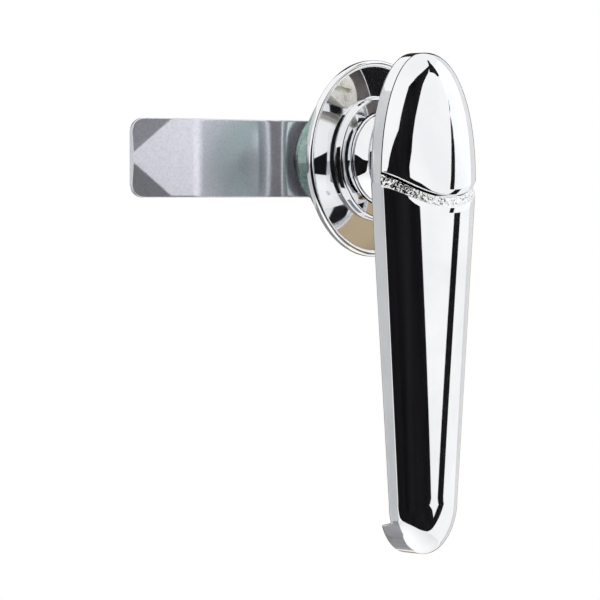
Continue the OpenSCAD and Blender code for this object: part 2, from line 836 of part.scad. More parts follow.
module cover_screw() {
    head_low = screw_head_top - cover_head_t;
    color("silver")
        front_view()
            translate([0, pivot_up, 0]) {
                difference() {
                    bar(cover_head_d / 2, head_low, screw_head_top);
                    for (a = [0, 90])
                        rotate([0, 0, a])
                            slab(cover_cross_w, -cover_cross_l / 2, cover_cross_l / 2,
                                head_low - past, head_low + cover_cross_depth);
                }
                bar(cover_screw_d / 2, screw_head_top - fixed_clear, cover_low);
                bar(cover_thread_d / 2, cover_low - fixed_clear, cover_low + cover_thread_l);
            }
}

module cover_wave_washer() {
    color("dimgray")
        front_view()
            translate([0, pivot_up, 0])
                ring(cover_head_d / 2 + fixed_clear, cover_screw_d / 2 + fixed_clear,
                    screw_head_top, screw_seat - face_gap / 2);
}

module cover_slip_washer() {
    color("ivory")
        front_view()
            translate([0, pivot_up, 0])
                ring(cover_boss_d / 2, cover_screw_d / 2 + fixed_clear, seam_h + face_gap / 2, cover_low);
}

rose();
panel_gasket();
tooth_washer();
fixing_nut();
stop_pin();
lever();
stem_seal();
thrust_washer();
retaining_ring();
cam();
cam_washer();
cam_spring_washer();
cam_screw();
cylinder_shell();
cylinder_pin();
lock_plug();
wafers();
plug_tail();
tail_screw();
lock_bolt();
key_cover();
cover_screw();
cover_wave_washer();
cover_slip_washer();
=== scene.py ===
"""Cabinet handle lock: smooth pieces, finishes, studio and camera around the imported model."""
import json
import math

import bmesh
import bpy
from mathutils import Matrix, Vector, noise


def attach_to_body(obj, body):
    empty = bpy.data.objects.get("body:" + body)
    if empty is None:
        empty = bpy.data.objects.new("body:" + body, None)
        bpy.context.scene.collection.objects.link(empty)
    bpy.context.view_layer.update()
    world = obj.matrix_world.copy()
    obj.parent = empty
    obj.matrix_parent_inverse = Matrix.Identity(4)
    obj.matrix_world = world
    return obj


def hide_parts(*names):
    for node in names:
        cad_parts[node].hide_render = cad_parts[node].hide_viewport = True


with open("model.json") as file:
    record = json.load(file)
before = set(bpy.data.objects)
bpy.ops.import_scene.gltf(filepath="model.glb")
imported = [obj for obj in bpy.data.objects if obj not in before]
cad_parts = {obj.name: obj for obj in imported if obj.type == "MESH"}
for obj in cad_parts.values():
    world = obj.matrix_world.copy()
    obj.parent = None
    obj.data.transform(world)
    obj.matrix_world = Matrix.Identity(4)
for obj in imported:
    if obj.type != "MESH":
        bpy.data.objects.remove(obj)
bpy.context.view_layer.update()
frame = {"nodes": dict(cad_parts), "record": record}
nodes = frame["nodes"]
scene = bpy.context.scene
scene.view_settings.view_transform = "Standard"

MM = 0.001

# Points closer than this are joined and shorter edges dropped, in metres.
JOIN_DISTANCE = 2e-6
LEAST_EDGE = 1e-6

# Sizes in mm, as in the part's source where it has them, but the gasket's groove lies further in here.
# Rose and barrel:
ROSE_R = 24.0
RIM_H = 1.9
RIM_W = 1.4
FLOOR_H = 1.2
FLOOR_ROUND = 0.2
COLLAR_R = 14.9
COLLAR_H = 3.4
COLLAR_ROUND = 0.6
COLLAR_FILLET = 0.4
COLLAR_BORE_R = 11.45
COLLAR_CHAMFER = 0.25
BACK_EDGE_ROUND = 0.3
GASKET_R = 16.0
GASKET_W = 3.6
GASKET_T = 0.6
BARREL_R = 11.0
BARREL_FLAT = 20.6
BARREL_L = 14.0
BARREL_ROOT = 0.3
BARREL_END_SHARE = 0.955
THREAD_PITCH = 1.0
THREAD_DEPTH = 0.55
THREAD_START = 0.6
THREAD_RUN_IN = 6
THREAD_RUN_OUT = 10

# Stem and neck of the lever:
STEM_R = 9.4
STEM_CLEAR = 0.15
STEM_END = 17.1
STEM_CHAMFER = 0.5
FLANGE_R = 11.3
FLANGE_LOW = 2.6
FLANGE_TOP = 3.8
FLANGE_CHAMFER = 0.15
FLANGE_ROUND = 0.5
FLANGE_GAP = 0.1
NECK_R = 9.3
NECK_LOW_R = 10.7
NECK_TOP_R = 11.7
NECK_SINK = 0.5
RING_LOW = 15.0
RING_HIGH = 16.1
RING_GROOVE = 0.8
CYLINDER_FLANGE_R = 8.0
CYLINDER_LOW = 4.1
CYLINDER_CLEAR = 0.05

# Lever:
LEVER_HALF = 16.1
LEVER_TOP = 25.4
WIDEST_DROP = 6.0
GRIP_HALF = 10.4
GRIP_DROP = 83.0
END_L = 12.8
TOP_POWER = 2.2
BACK_H = 13.1
GRIP_BACK_H = 14.2
BACK_ROUND = 0.9
BACK_ROUND_SHARE = 0.8
SEAM_H = 17.0
CROWN = 0.27
LEAST_RISE = 0.02
EDGE_ROUND = 0.35
LIP_DEPTH = 3.2
LIP_L = 8.2
LIP_STEP = 1.1
LEDGE_W = 2.2
LEDGE_DEPTH = 0.9
LUMP = 0.45
LUMP_SHARE = 0.6
LUMP_FADE = 4
FINE_LUMPS = 1.9
FINE_LAYER = 3.1
COARSE_LUMPS = 0.9
COARSE_LAYER = 7.7

# Key cover and its screw:
PIVOT_UP = 16.5
COVER_R = 25.6
COVER_WALL = 1.8
COVER_CLEAR = 0.4
COVER_LOW = 17.3
COVER_TOP_MARGIN = 0.01
COVER_TOP_STEP = 0.005
COVER_BOSS_R = 3.5
COVER_BOSS_SINK = 0.6
SCREW_BORE_R = 2.2

# Lock bolt, its channel in the neck and its notches in the rose:
BOLT_W = 9.0
BOLT_TAIL = 5.0
RUN_CLEAR = 0.15
CHANNEL = (0.45, 2.25)
NOTCH_START = 6.0
NOTCH_END = 13.23

# Cam:
CAM_W = 19.0
CAM_T = 2.5
CAM_REACH = 55.4
CAM_BEND = 13.0
CAM_BEND_L = 3.6
CAM_OFFSET = 3.6
CAM_TIP_BEND = 39.4
CAM_TIP_ANGLE = 20.0
CAM_HEEL = 10.0
CAM_RADII = (3.0, 6.0, 10.0)
CAM_ROUND = 3.0
CAM_EDGE_ROUND = 0.3
CAM_FRONT = 17.1
LEAD_L = 9.5
LEAD_DEPTH = 1.3
LEAD_GAP = 2.6

# How finely the pieces are divided, and the angles in degrees from which an edge is sharp.
SHARP_ANGLE = 34
CAM_SHARP_ANGLE = 24
COLUMNS = 144
BACK_STEPS = 5
SIDE_STEPS = 3
GRIP_ROWS = 56
END_ROWS = 72
EDGE_ROWS = 4
BAND_ROWS = 24
TOP_ROWS = 30
COVER_ROWS = 44
NECK_ROWS = 40
NECK_COLUMNS = 160
ROSE_COLUMNS = 192
BORE_COLUMNS = 96
SMALL_COLUMNS = 48
THREAD_ROWS = 8
CAM_COLUMNS = 56
CAM_STEP = 0.35
BEND_STEPS = 16
ARC_TRIES = 40
COVER_TRIES = 6
CUT_OVER = 2.0
QUARTER = [math.radians(a) for a in (0, 30, 60, 90)]


def at(x, up, height):
    """A point in metres from mm: to the right, up, and in front of the door."""
    return Vector((x, -height, up)) * MM


def arc(centre, radius, start, end, count):
    """Points (r, h) on an arc, angles in degrees."""
    out = []
    for i in range(count + 1):
        a = math.radians(start + (end - start) * i / count)
        out.append((centre[0] + radius * math.cos(a), centre[1] + radius * math.sin(a)))
    return out


def sharpen(mesh, angle=SHARP_ANGLE):
    mesh.set_sharp_from_angle(angle=math.radians(angle))


def attach(obj, body, node=None):
    """Says which body a piece rides on and hides the node it replaces."""
    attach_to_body(obj, body)
    if node:
        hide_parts(node)


class Surface:
    """Collects grids of points that make one piece."""

    def __init__(self):
        self.points = []
        self.faces = []
        self.slots = []

    def grid(self, rows, slots=None, loop=False, span=None):
        """Adds rows of points; slots has each row's material, which holds in the columns of span."""
        start = len(self.points)
        width = len(rows[0])
        for row in rows:
            self.points.extend(row)
        last = width if loop else width - 1
        for i in range(len(rows) - 1):
            for j in range(last):
                a = start + i * width + j
                b = start + i * width + (j + 1) % width
                self.faces.append((a, b, b + width, a + width))
                inside = span is None or j in span
                self.slots.append(slots[i] if slots and inside else 0)

    def face(self, ring):
        """Adds one flat face."""
        start = len(self.points)
        self.points.extend(ring)
        self.faces.append(tuple(range(start, start + len(ring))))
        self.slots.append(0)

    def piece(self, name, materials, sharp=SHARP_ANGLE):
        """Joins what was added into one smooth object."""
        mesh = bpy.data.meshes.new(name)
        mesh.from_pydata(self.points, [], self.faces)
        mesh.polygons.foreach_set("material_index", self.slots)
        shape = bmesh.new()
        shape.from_mesh(mesh)
        bmesh.ops.remove_doubles(shape, verts=shape.verts, dist=JOIN_DISTANCE)
        bmesh.ops.dissolve_degenerate(shape, dist=LEAST_EDGE, edges=shape.edges)
        bmesh.ops.recalc_face_normals(shape, faces=shape.faces)
        shape.to_mesh(mesh)
        shape.free()
        mesh.shade_smooth()
        sharpen(mesh, sharp)
        obj = bpy.data.objects.new(name, mesh)
        scene.collection.objects.link(obj)
        for material in materials:
            mesh.materials.append(material)
        return obj


def lathe_rows(profile, count, centre=(0, 0)):
    """Rows of points for a profile of (r, h) turned about an axis square to the door."""
    rows = []
    for r, h in profile:
        row = []
        for k in range(count):
            a = math.tau * k / count
            row.append(at(centre[0] + r * math.cos(a), centre[1] + r * math.sin(a), h))
        rows.append(row)
    return rows


# Finishes. Noise scales are per metre and bump depths in metres.
FINE_DETAIL = 4.0
PLAIN_DETAIL = 3.0


def new_material(name):
    material = bpy.data.materials.new(name)
    material.use_nodes = True
    tree = material.node_tree
    shader = tree.nodes["Principled BSDF"]
    coords = tree.nodes.new("ShaderNodeTexCoord").outputs["Object"]
    return material, tree, shader, coords


def noise_node(tree, coords, scale, detail=PLAIN_DETAIL, stretch=None):
    if stretch:
        mapping = tree.nodes.new("ShaderNodeMapping")
        mapping.inputs["Scale"].default_value = stretch
        tree.links.new(coords, mapping.inputs["Vector"])
        coords = mapping.outputs["Vector"]
    node = tree.nodes.new("ShaderNodeTexNoise")
    node.inputs["Scale"].default_value = scale
    node.inputs["Detail"].default_value = detail
    tree.links.new(coords, node.inputs["Vector"])
    return node.outputs["Fac"]


def ramp(tree, value, low, high, start=0.35, end=0.65):
    """Maps a value between start and end to low and high."""
    node = tree.nodes.new("ShaderNodeMapRange")
    node.inputs["From Min"].default_value = start
    node.inputs["From Max"].default_value = end
    node.inputs["To Min"].default_value = low
    node.inputs["To Max"].default_value = high
    tree.links.new(value, node.inputs["Value"])
    return node.outputs["Result"]


def colours(tree, value, stops):
    """Maps a value to colours; stops are (place, colour)."""
    node = tree.nodes.new("ShaderNodeValToRGB")
    items = node.color_ramp.elements
    while len(items) < len(stops):
        items.new(0.5)
    for item, (place, colour) in zip(items, stops):
        item.position = place
        item.color = (*colour, 1)
    tree.links.new(value, node.inputs["Fac"])
    return node.outputs["Color"]


def add_bump(tree, shader, value, strength, distance):
    node = tree.nodes.new("ShaderNodeBump")
    node.inputs["Strength"].default_value = strength
    node.inputs["Distance"].default_value = distance
    tree.links.new(value, node.inputs["Height"])
    tree.links.new(node.outputs["Normal"], shader.inputs["Normal"])


def finish(
    name, stops, speck, rough, rough_scale, bump=None, stretch=None, metallic=0.0, detail=FINE_DETAIL
):
    """A finish with colour specks, uneven roughness and an optional bump (scale, strength, depth)."""
    material, tree, shader, coords = new_material(name)
    shader.inputs["Metallic"].default_value = metallic
    tint = colours(tree, noise_node(tree, coords, speck, FINE_DETAIL), stops)
    tree.links.new(tint, shader.inputs["Base Color"])
    uneven = noise_node(tree, coords, rough_scale, detail, stretch)
    tree.links.new(ramp(tree, uneven, *rough), shader.inputs["Roughness"])
    if bump:
        scale, strength, depth = bump
        add_bump(tree, shader, noise_node(tree, coords, scale, stretch=stretch), strength, depth)
    return material


def metal(name, stops, speck, rough, rough_scale, bump=None, stretch=None, metallic=1.0):
    return finish(name, stops, speck, rough, rough_scale, bump, stretch, metallic)


def plain(name, stops, speck, rough, bump):
    return finish(name, stops, speck, rough, 2 * speck, bump, detail=PLAIN_DETAIL)


chrome = metal(
    "chrome",
    stops=[(0.35, (0.86, 0.87, 0.89)), (0.65, (0.93, 0.935, 0.945))],
    speck=90,
    rough=(0.02, 0.05),
    rough_scale=260,
)
rough_chrome = metal(
    "rough_chrome",
    stops=[(0.3, (0.9, 0.9, 0.9)), (0.6, (1.0, 1.0, 1.0))],
    speck=800,
    rough=(0.02, 0.05),
    rough_scale=700,
    bump=(480, 0.8, 0.0016),
)
zinc = metal(
    "zinc_plate",
    stops=[(0.3, (0.78, 0.79, 0.9)), (0.5, (0.86, 0.87, 0.95)), (0.75, (0.94, 0.95, 1.0))],
    speck=1600,
    rough=(0.28, 0.31),
    rough_scale=1400,
    bump=(2600, 0.008, 0.0001),
    stretch=(0.4, 1, 1),
    metallic=0.9,
)
cast_back = metal(
    "cast_back",
    stops=[(0.3, (0.84, 0.85, 0.87)), (0.7, (0.92, 0.93, 0.94))],
    speck=700,
    rough=(0.38, 0.5),
    rough_scale=900,
    bump=(1500, 0.12, 0.0001),
    metallic=0.2,
)
plated = metal(
    "plated_steel",
    stops=[(0.3, (0.78, 0.76, 0.69)), (0.55, (0.85, 0.83, 0.76)), (0.75, (0.92, 0.89, 0.82))],
    speck=420,
    rough=(0.22, 0.32),
    rough_scale=800,
    bump=(1800, 0.04, 0.0001),
    metallic=0.2,
)
green_zinc = metal(
    "green_zinc",
    stops=[(0.3, (0.24, 0.38, 0.33)), (0.55, (0.36, 0.5, 0.45)), (0.75, (0.5, 0.6, 0.55))],
    speck=420,
    rough=(0.2, 0.34),
    rough_scale=800,
    bump=(1800, 0.1, 0.0001),
)
dark_steel = metal(
    "dark_steel",
    stops=[(0.3, (0.1, 0.1, 0.11)), (0.7, (0.2, 0.2, 0.21))],
    speck=600,
    rough=(0.3, 0.5),
    rough_scale=900,
    bump=(1600, 0.15, 0.0001),
)
brass = metal(
    "brass",
    stops=[(0.3, (0.62, 0.44, 0.19)), (0.7, (0.8, 0.62, 0.32))],
    speck=300,
    rough=(0.16, 0.3),
    rough_scale=700,
    bump=(1400, 0.1, 0.0001),
)
rubber = plain(
    "gasket",
    stops=[(0.3, (0.33, 0.45, 0.41)), (0.7, (0.42, 0.54, 0.5))],
    speck=500,
    rough=(0.5, 0.75),
    bump=(1500, 0.3, 0.0002),
)
nylon = plain(
    "nylon",
    stops=[(0.3, (0.78, 0.75, 0.68)), (0.7, (0.88, 0.86, 0.8))],
    speck=300,
    rough=(0.35, 0.5),
    bump=(900, 0.1, 0.0001),
)

FINISHES = {
    "chrome": chrome,
    "zinc_plate": zinc,
    "plated_steel": plated,
    "dark_steel": dark_steel,
    "brass": brass,
    "gasket": rubber,
    "nylon": nylon,
}
for entry in frame["record"]["subparts"]:
    held = nodes[entry["node"]].data
    held.materials.clear()
    held.materials.append(FINISHES[entry["material_slot"]])
for name in ("fixing_nut", "tooth_washer", "thrust_washer"):
    nodes[name].data.materials[0] = green_zinc


# The lever's outline and crown. A column of the crown is named by its angle phi, from side to side.
PHI = [math.radians(-90 + 180 * i / COLUMNS) for i in range(COLUMNS + 1)]
WALL_R = COVER_R + COVER_CLEAR
LEDGE_R = COVER_R + COVER_CLEAR + LEDGE_W


def half_width(z, inset=0.0):
    """Half the lever's width at a level."""
    if z > -WIDEST_DROP:
        q = min(1.0, (z + WIDEST_DROP) / (LEVER_TOP + WIDEST_DROP - inset))
        return (LEVER_HALF - inset) * (1 - q**TOP_POWER) ** (1 / TOP_POWER)
    if z > -GRIP_DROP:
        s = (-WIDEST_DROP - z) / (GRIP_DROP - WIDEST_DROP)
        return LEVER_HALF - inset - (LEVER_HALF - GRIP_HALF) * s
    q = min(1.0, (-GRIP_DROP - z) / (END_L - inset))
    return (GRIP_HALF - inset) * math.sqrt(1 - q * q)


def back_at(z):
    """Height of the lever's back, with the finger lip at the lower end."""
    s = (LEVER_TOP - z) / (LEVER_TOP + GRIP_DROP)
    flat = BACK_H + (GRIP_BACK_H - BACK_H) * max(0.0, min(1.0, s))
    t = max(0.0, min(1.0, (LIP_L - GRIP_DROP - END_L - z) / LIP_STEP))
    return flat - LIP_DEPTH * t * t * (3 - 2 * t)


def rise_at(z, inset=0.0):
    """Height of the crown above the seam at a level."""
    return max(LEAST_RISE, 2 * CROWN * (half_width(z, inset) + inset) - inset)


def arc_level(phi, radius, inset=0.0):
    """Level where a column of the crown meets the circle about the cover's pivot."""
    z = PIVOT_UP - radius
    for _ in range(ARC_TRIES):
        x = half_width(z, inset) * math.sin(phi)
        z = PIVOT_UP - math.sqrt(radius * radius - x * x)
    return z


def crown_point(phi, z, depth=0.0):
    h = SEAM_H + rise_at(z) * math.cos(phi) - depth
    return half_width(z) * math.sin(phi), z, max(SEAM_H, h)


def lump(x, z):
    """Roughness of the cast ledge, in mm; each noise has its own layer."""
    fine = noise.noise(Vector((x * FINE_LUMPS, z * FINE_LUMPS, FINE_LAYER)))
    coarse = noise.noise(Vector((x * COARSE_LUMPS, z * COARSE_LUMPS, COARSE_LAYER)))
    return LUMP * (LUMP_SHARE * fine + LUMP_SHARE * coarse)


def grip_rows(edge):
    """Rows from the lever's lower end to the rounded edge at the ledge."""
    rows = []
    for i in range(END_ROWS):
        a = math.radians(90 - 90 * i / END_ROWS)
        z = -GRIP_DROP - END_L * math.sin(a)
        rows.append([crown_point(phi, z) for phi in PHI])
    for i in range(GRIP_ROWS + 1):
        row = []
        for phi, top in zip(PHI, edge):
            z = -GRIP_DROP + (top - EDGE_ROUND + GRIP_DROP) * i / GRIP_ROWS
            row.append(crown_point(phi, z))
        rows.append(row)
    for i in range(1, EDGE_ROWS + 1):
        a = math.radians(90 * i / EDGE_ROWS)
        row = []
        for phi, top in zip(PHI, edge):
            z = top - EDGE_ROUND + EDGE_ROUND * math.sin(a)
            row.append(crown_point(phi, z, EDGE_ROUND * (1 - math.cos(a))))
        rows.append(row)
    return rows


def ledge_rows(edge, wall):
    """Rows of the rough ledge below the cover."""
    rows = []
    for i in range(BAND_ROWS + 1):
        t = i / BAND_ROWS
        row = []
        for phi, low, high in zip(PHI, edge, wall):
            x, z, h = crown_point(phi, low + (high - low) * t, LEDGE_DEPTH)
            fade = min(1.0, LUMP_FADE * t, LUMP_FADE * (1 - t)) * math.cos(phi)
            row.append((x, z, max(SEAM_H, h + lump(x, z) * fade)))
        rows.append(row)
    return rows


def seat_rows(wall):
    """Rows of the flat seat under the cover, from the ledge's wall to the lever's top."""
    rows = []
    for i in range(TOP_ROWS + 1):
        t = math.sin(math.radians(90 * i / TOP_ROWS))
        row = []
        for phi, low in zip(PHI, wall):
            z = low + (LEVER_TOP - low) * t
            row.append((half_width(z) * math.sin(phi), z, SEAM_H))
        rows.append(row)
    return rows


def with_back(row):
    """Adds the lever's sides and rounded back corners to a row of crown points."""
    out = []
    for side in (-1, 1):
        x, z, top = row[0] if side < 0 else row[-1]
        w = abs(x)
        back = back_at(z)
        corner = min(BACK_ROUND, BACK_ROUND_SHARE * w)
        part = []
        for k in range(BACK_STEPS + 1):
            a = math.radians(90 * k / BACK_STEPS)
            across = w - corner + corner * math.sin(a)
            part.append((side * across, z, back + BACK_ROUND * (1 - math.cos(a))))
        for k in range(1, SIDE_STEPS):
            h = back + BACK_ROUND + (top - back - BACK_ROUND) * k / SIDE_STEPS
            part.append((side * w, z, h))
        out.append(part)
    return out[0] + row + out[1][::-1]


# Cutters.


def cut(obj, cutter):
    """Takes the cutter's solid out of a piece and removes the cutter."""
    modifier = obj.modifiers.new("cut", "BOOLEAN")
    modifier.operation = "DIFFERENCE"
    modifier.solver = "EXACT"
    modifier.object = cutter
    bpy.context.view_layer.update()
    graph = bpy.context.evaluated_depsgraph_get()
    made = bpy.data.meshes.new_from_object(obj.evaluated_get(graph))
    obj.modifiers.remove(modifier)
    old = obj.data
    obj.data = made
    made.name = old.name
    bpy.data.meshes.remove(old)
    bpy.data.objects.remove(cutter)


def block(x, z, h):
    """A box between pairs of limits, as a cutter."""
    surface = Surface()
    ring = [(x[0], z[0]), (x[1], z[0]), (x[1], z[1]), (x[0], z[1])]
    low = [at(a, b, h[0]) for a, b in ring]
    high = [at(a, b, h[1]) for a, b in ring]
    surface.grid([low, high], loop=True)
    surface.face(low)
    surface.face(high)
    return surface.piece("notch", [chrome])


# Pieces.


def lever():
    edge = [arc_level(phi, LEDGE_R) for phi in PHI]
    wall = [arc_level(phi, WALL_R) for phi in PHI]
    grip = grip_rows(edge)
    ledge = ledge_rows(edge, wall)
    seat = seat_rows(wall)
    rows = [[at(*p) for p in with_back(row)] for row in grip + ledge + seat]
    slots = [0] * len(grip) + [1] * (len(ledge) - 1) + [0] * (len(seat) + 1)
    side = BACK_STEPS + SIDE_STEPS
    surface = Surface()
    surface.grid(rows, slots, loop=True, span=range(side, side + len(PHI) - 1))
    obj = surface.piece("lever_body", [chrome, rough_chrome])
    bores = Surface()
    r = CYLINDER_FLANGE_R + CYLINDER_CLEAR
    over = SEAM_H + CUT_OVER
    under = BACK_H - CUT_OVER
    profile = [(0, CYLINDER_LOW), (r, CYLINDER_LOW), (r, over), (0, over)]
    bores.grid(lathe_rows(profile, BORE_COLUMNS), loop=True)
    profile = [(0, under), (SCREW_BORE_R, under), (SCREW_BORE_R, over), (0, over)]
    bores.grid(lathe_rows(profile, SMALL_COLUMNS, (0, PIVOT_UP)), loop=True)
    cut(obj, bores.piece("bores", [chrome]))
    sharpen(obj.data)
    attach(obj, "handle", "lever")


def neck():
    groove_r = STEM_R - RING_GROOVE
    profile = [(0, -STEM_END), (STEM_R - STEM_CHAMFER, -STEM_END), (STEM_R, -STEM_END + STEM_CHAMFER)]
    profile += [(STEM_R, -RING_HIGH), (groove_r, -RING_HIGH)]
    profile += [(groove_r, -RING_LOW), (STEM_R, -RING_LOW), (STEM_R, FLANGE_LOW)]
    profile += [(FLANGE_R - FLANGE_CHAMFER, FLANGE_LOW), (FLANGE_R, FLANGE_LOW + FLANGE_CHAMFER)]
    profile += arc((FLANGE_R - FLANGE_ROUND, FLANGE_TOP - FLANGE_ROUND), FLANGE_ROUND, 0, 90, count=8)
    top = BACK_H + NECK_SINK
    for k in range(NECK_ROWS + 1):
        s = k / NECK_ROWS
        edge = NECK_LOW_R if s < 0.5 else NECK_TOP_R
        r = NECK_R + (edge - NECK_R) * abs(2 * s - 1) ** 2
        profile.append((r, FLANGE_TOP + (top - FLANGE_TOP) * s))
    bore = CYLINDER_FLANGE_R + CYLINDER_CLEAR
    profile += [(bore, top), (bore, CYLINDER_LOW), (0, CYLINDER_LOW)]
    surface = Surface()
    surface.grid(lathe_rows(profile, NECK_COLUMNS), loop=True)
    obj = surface.piece("lever_neck", [chrome])
    half = BOLT_W / 2 + RUN_CLEAR
    cut(obj, block((-half, half), (-BOLT_TAIL - RUN_CLEAR, STEM_R + CUT_OVER), CHANNEL))
    sharpen(obj.data)
    attach(obj, "handle")


def cover_rows(inset, radius):
    """Rows of one skin of the key cover, from the top to its rounded lower edge."""
    top = LEVER_TOP - inset
    while rise_at(top, inset) < COVER_LOW - SEAM_H + COVER_TOP_MARGIN:
        top -= COVER_TOP_STEP
    places = []
    for i in range(COVER_ROWS + 1):
        places.append((1 - math.cos(math.radians(90 * i / COVER_ROWS)), 1.0, 0.0))
    for a in QUARTER:
        places.append((1.0, 1 - math.sin(a), 1 - math.cos(a)))
    rows = []
    for share, above, depth in places:
        row = []
        for j in range(COLUMNS + 1):
            s = -1 + 2 * j / COLUMNS
            phi = s * math.pi / 2
            for _ in range(COVER_TRIES):
                low = arc_level(phi, radius, inset) + EDGE_ROUND * above
                z = top + (low - top) * share
                reach = math.acos(min(1.0, (COVER_LOW - SEAM_H) / rise_at(z, inset)))
                phi = s * reach
            h = SEAM_H + rise_at(z, inset) * math.cos(phi) - EDGE_ROUND * depth
            row.append((half_width(z, inset) * math.sin(phi), z, max(COVER_LOW, h)))
        rows.append(row)
    rows.append([(x, z, COVER_LOW) for x, z, h in rows[-1]])
    return rows


def cover():
    outer = [[at(*p) for p in row] for row in cover_rows(0.0, COVER_R)]
    inner = [[at(*p) for p in row] for row in cover_rows(COVER_WALL, COVER_R - COVER_WALL)]
    surface = Surface()
    surface.grid(outer)
    surface.grid(inner)
    surface.grid([outer[-1], inner[-1]])
    surface.grid([outer[0], inner[0]])
    surface.grid([[row[0] for row in outer], [row[0] for row in inner]])
    surface.grid([[row[-1] for row in outer], [row[-1] for row in inner]])
    top = SEAM_H + rise_at(PIVOT_UP, COVER_WALL) + COVER_BOSS_SINK
    boss = [(0, COVER_LOW), (COVER_BOSS_R, COVER_LOW), (COVER_BOSS_R, top), (0, top)]
    surface.grid(lathe_rows(boss, SMALL_COLUMNS, (0, PIVOT_UP)), loop=True)
    obj = surface.piece("key_cover_shell", [chrome])
    attach(obj, "cover", "key_cover")


def thread_rows():
    """Rows of the barrel's thread, with its two flats."""
    length = BARREL_L - 2 * THREAD_START
    count = int(length / THREAD_PITCH * THREAD_ROWS)
    rows = []
    for i in range(count + 1):
        h = -THREAD_START - length * i / count
        fade = min(1.0, THREAD_RUN_IN * i / count, THREAD_RUN_OUT * (1 - i / count))
        row = []
        for k in range(ROSE_COLUMNS):
            a = math.tau * k / ROSE_COLUMNS
            wave = (h / THREAD_PITCH + k / ROSE_COLUMNS) % 1.0
            r = BARREL_R - THREAD_DEPTH * (1 - abs(2 * wave - 1)) * fade
            x = max(-BARREL_FLAT / 2, min(BARREL_FLAT / 2, r * math.cos(a)))
            row.append(at(x, r * math.sin(a), h))
        rows.append(row)
    return rows


def rose():
    bead = RIM_W / 2
    floor_end = ROSE_R - RIM_W - FLOOR_ROUND
    bore = STEM_R + STEM_CLEAR
    flange_seat = FLANGE_LOW - FLANGE_GAP
    gasket_inner = GASKET_R - GASKET_W
    profile = [(bore, -BARREL_L), (bore, flange_seat), (COLLAR_BORE_R, flange_seat)]
    profile += [(COLLAR_BORE_R, COLLAR_H - COLLAR_CHAMFER), (COLLAR_BORE_R + COLLAR_CHAMFER, COLLAR_H)]
    profile += arc((COLLAR_R - COLLAR_ROUND, COLLAR_H - COLLAR_ROUND), COLLAR_ROUND, 90, 0, count=16)
    profile += arc((COLLAR_R + COLLAR_FILLET, FLOOR_H + COLLAR_FILLET), COLLAR_FILLET, 180, 270, count=10)
    profile += arc((floor_end, FLOOR_H + FLOOR_ROUND), FLOOR_ROUND, 270, 360, count=6)
    profile += arc((ROSE_R - bead, RIM_H - bead), bead, 180, 0, count=40)
    profile += arc((ROSE_R - BACK_EDGE_ROUND, BACK_EDGE_ROUND), BACK_EDGE_ROUND, 0, -90, count=4)
    front = len(profile) - 1
    profile += [(GASKET_R, 0), (GASKET_R, GASKET_T), (gasket_inner, GASKET_T), (gasket_inner, 0)]
    profile += [(BARREL_R + BARREL_ROOT, 0), (BARREL_R, -BARREL_ROOT)]
    turned = lathe_rows(profile, ROSE_COLUMNS)
    thread = thread_rows()
    shrink = BARREL_END_SHARE / MM
    end = [at(v.x * shrink, v.z * shrink, -BARREL_L) for v in thread[-1]]
    rows = turned + thread + [end, turned[0]]
    surface = Surface()
    surface.grid(rows, [0] * front + [1] * (len(rows) - front), loop=True)
    obj = surface.piece("rose_plate", [chrome, cast_back])
    half = BOLT_W / 2 + 2 * RUN_CLEAR
    cut(obj, block((-half, half), (NOTCH_START, NOTCH_END), CHANNEL))
    cut(obj, block((-NOTCH_END, -NOTCH_START), (-half, half), CHANNEL))
    sharpen(obj.data)
    attach(obj, "mount", "rose")


def smooth_path(corners, radii):
    """Corners of a bent strip with each inner corner turned into an arc."""
    out = [Vector(corners[0])]
    for before, corner, after, radius in zip(corners, corners[1:], corners[2:], radii):
        corner = Vector(corner)
        to_before = (Vector(before) - corner).normalized()
        to_after = (Vector(after) - corner).normalized()
        half = to_before.angle(to_after) / 2
        back = radius / math.tan(half)
        middle = corner + (to_before + to_after).normalized() * radius / math.sin(half)
        start = corner + to_before * back - middle
        end = corner + to_after * back - middle
        for i in range(BEND_STEPS + 1):
            out.append(middle + start.slerp(end, i / BEND_STEPS).normalized() * radius)
    out.append(Vector(corners[-1]))
    return out


def resample(path, step):
    """The path with points added, about one step apart."""
    out = []
    for a, b in zip(path, path[1:]):
        count = max(1, int((b - a).length / step))
        for i in range(count):
            out.append(a.lerp(b, i / count))
    out.append(path[-1])
    return out


def lead_depth(from_tip, up):
    """Depth of the lead-in facets at the cam's tip."""
    half = CAM_W / 2
    lead = 1 - from_tip / LEAD_L - (half - abs(up)) / (half - LEAD_GAP / 2)
    return max(0.0, lead) * LEAD_DEPTH


def cam_section(from_tip, from_heel):
    """Points (up, depth) round the strip at a place along it."""
    flat = CAM_W / 2 - CAM_EDGE_ROUND
    near = min(from_tip, from_heel)
    if near < CAM_ROUND:
        flat += math.sqrt(max(0.0, CAM_ROUND**2 - (CAM_ROUND - near) ** 2)) - CAM_ROUND
    edge = lead_depth(from_tip, flat)
    turns = [(CAM_EDGE_ROUND * math.sin(a), CAM_EDGE_ROUND * (1 - math.cos(a))) for a in QUARTER]
    section = []
    for k in range(CAM_COLUMNS + 1):
        up = -flat + 2 * flat * k / CAM_COLUMNS
        section.append((up, lead_depth(from_tip, up)))
    section += [(flat + out, edge + depth) for out, depth in turns[1:]]
    section += [(flat + out, CAM_T - depth) for out, depth in turns[::-1]]
    section += [(-flat - out, CAM_T - depth) for out, depth in turns]
    section += [(-flat - out, edge + depth) for out, depth in turns[:0:-1]]
    return section


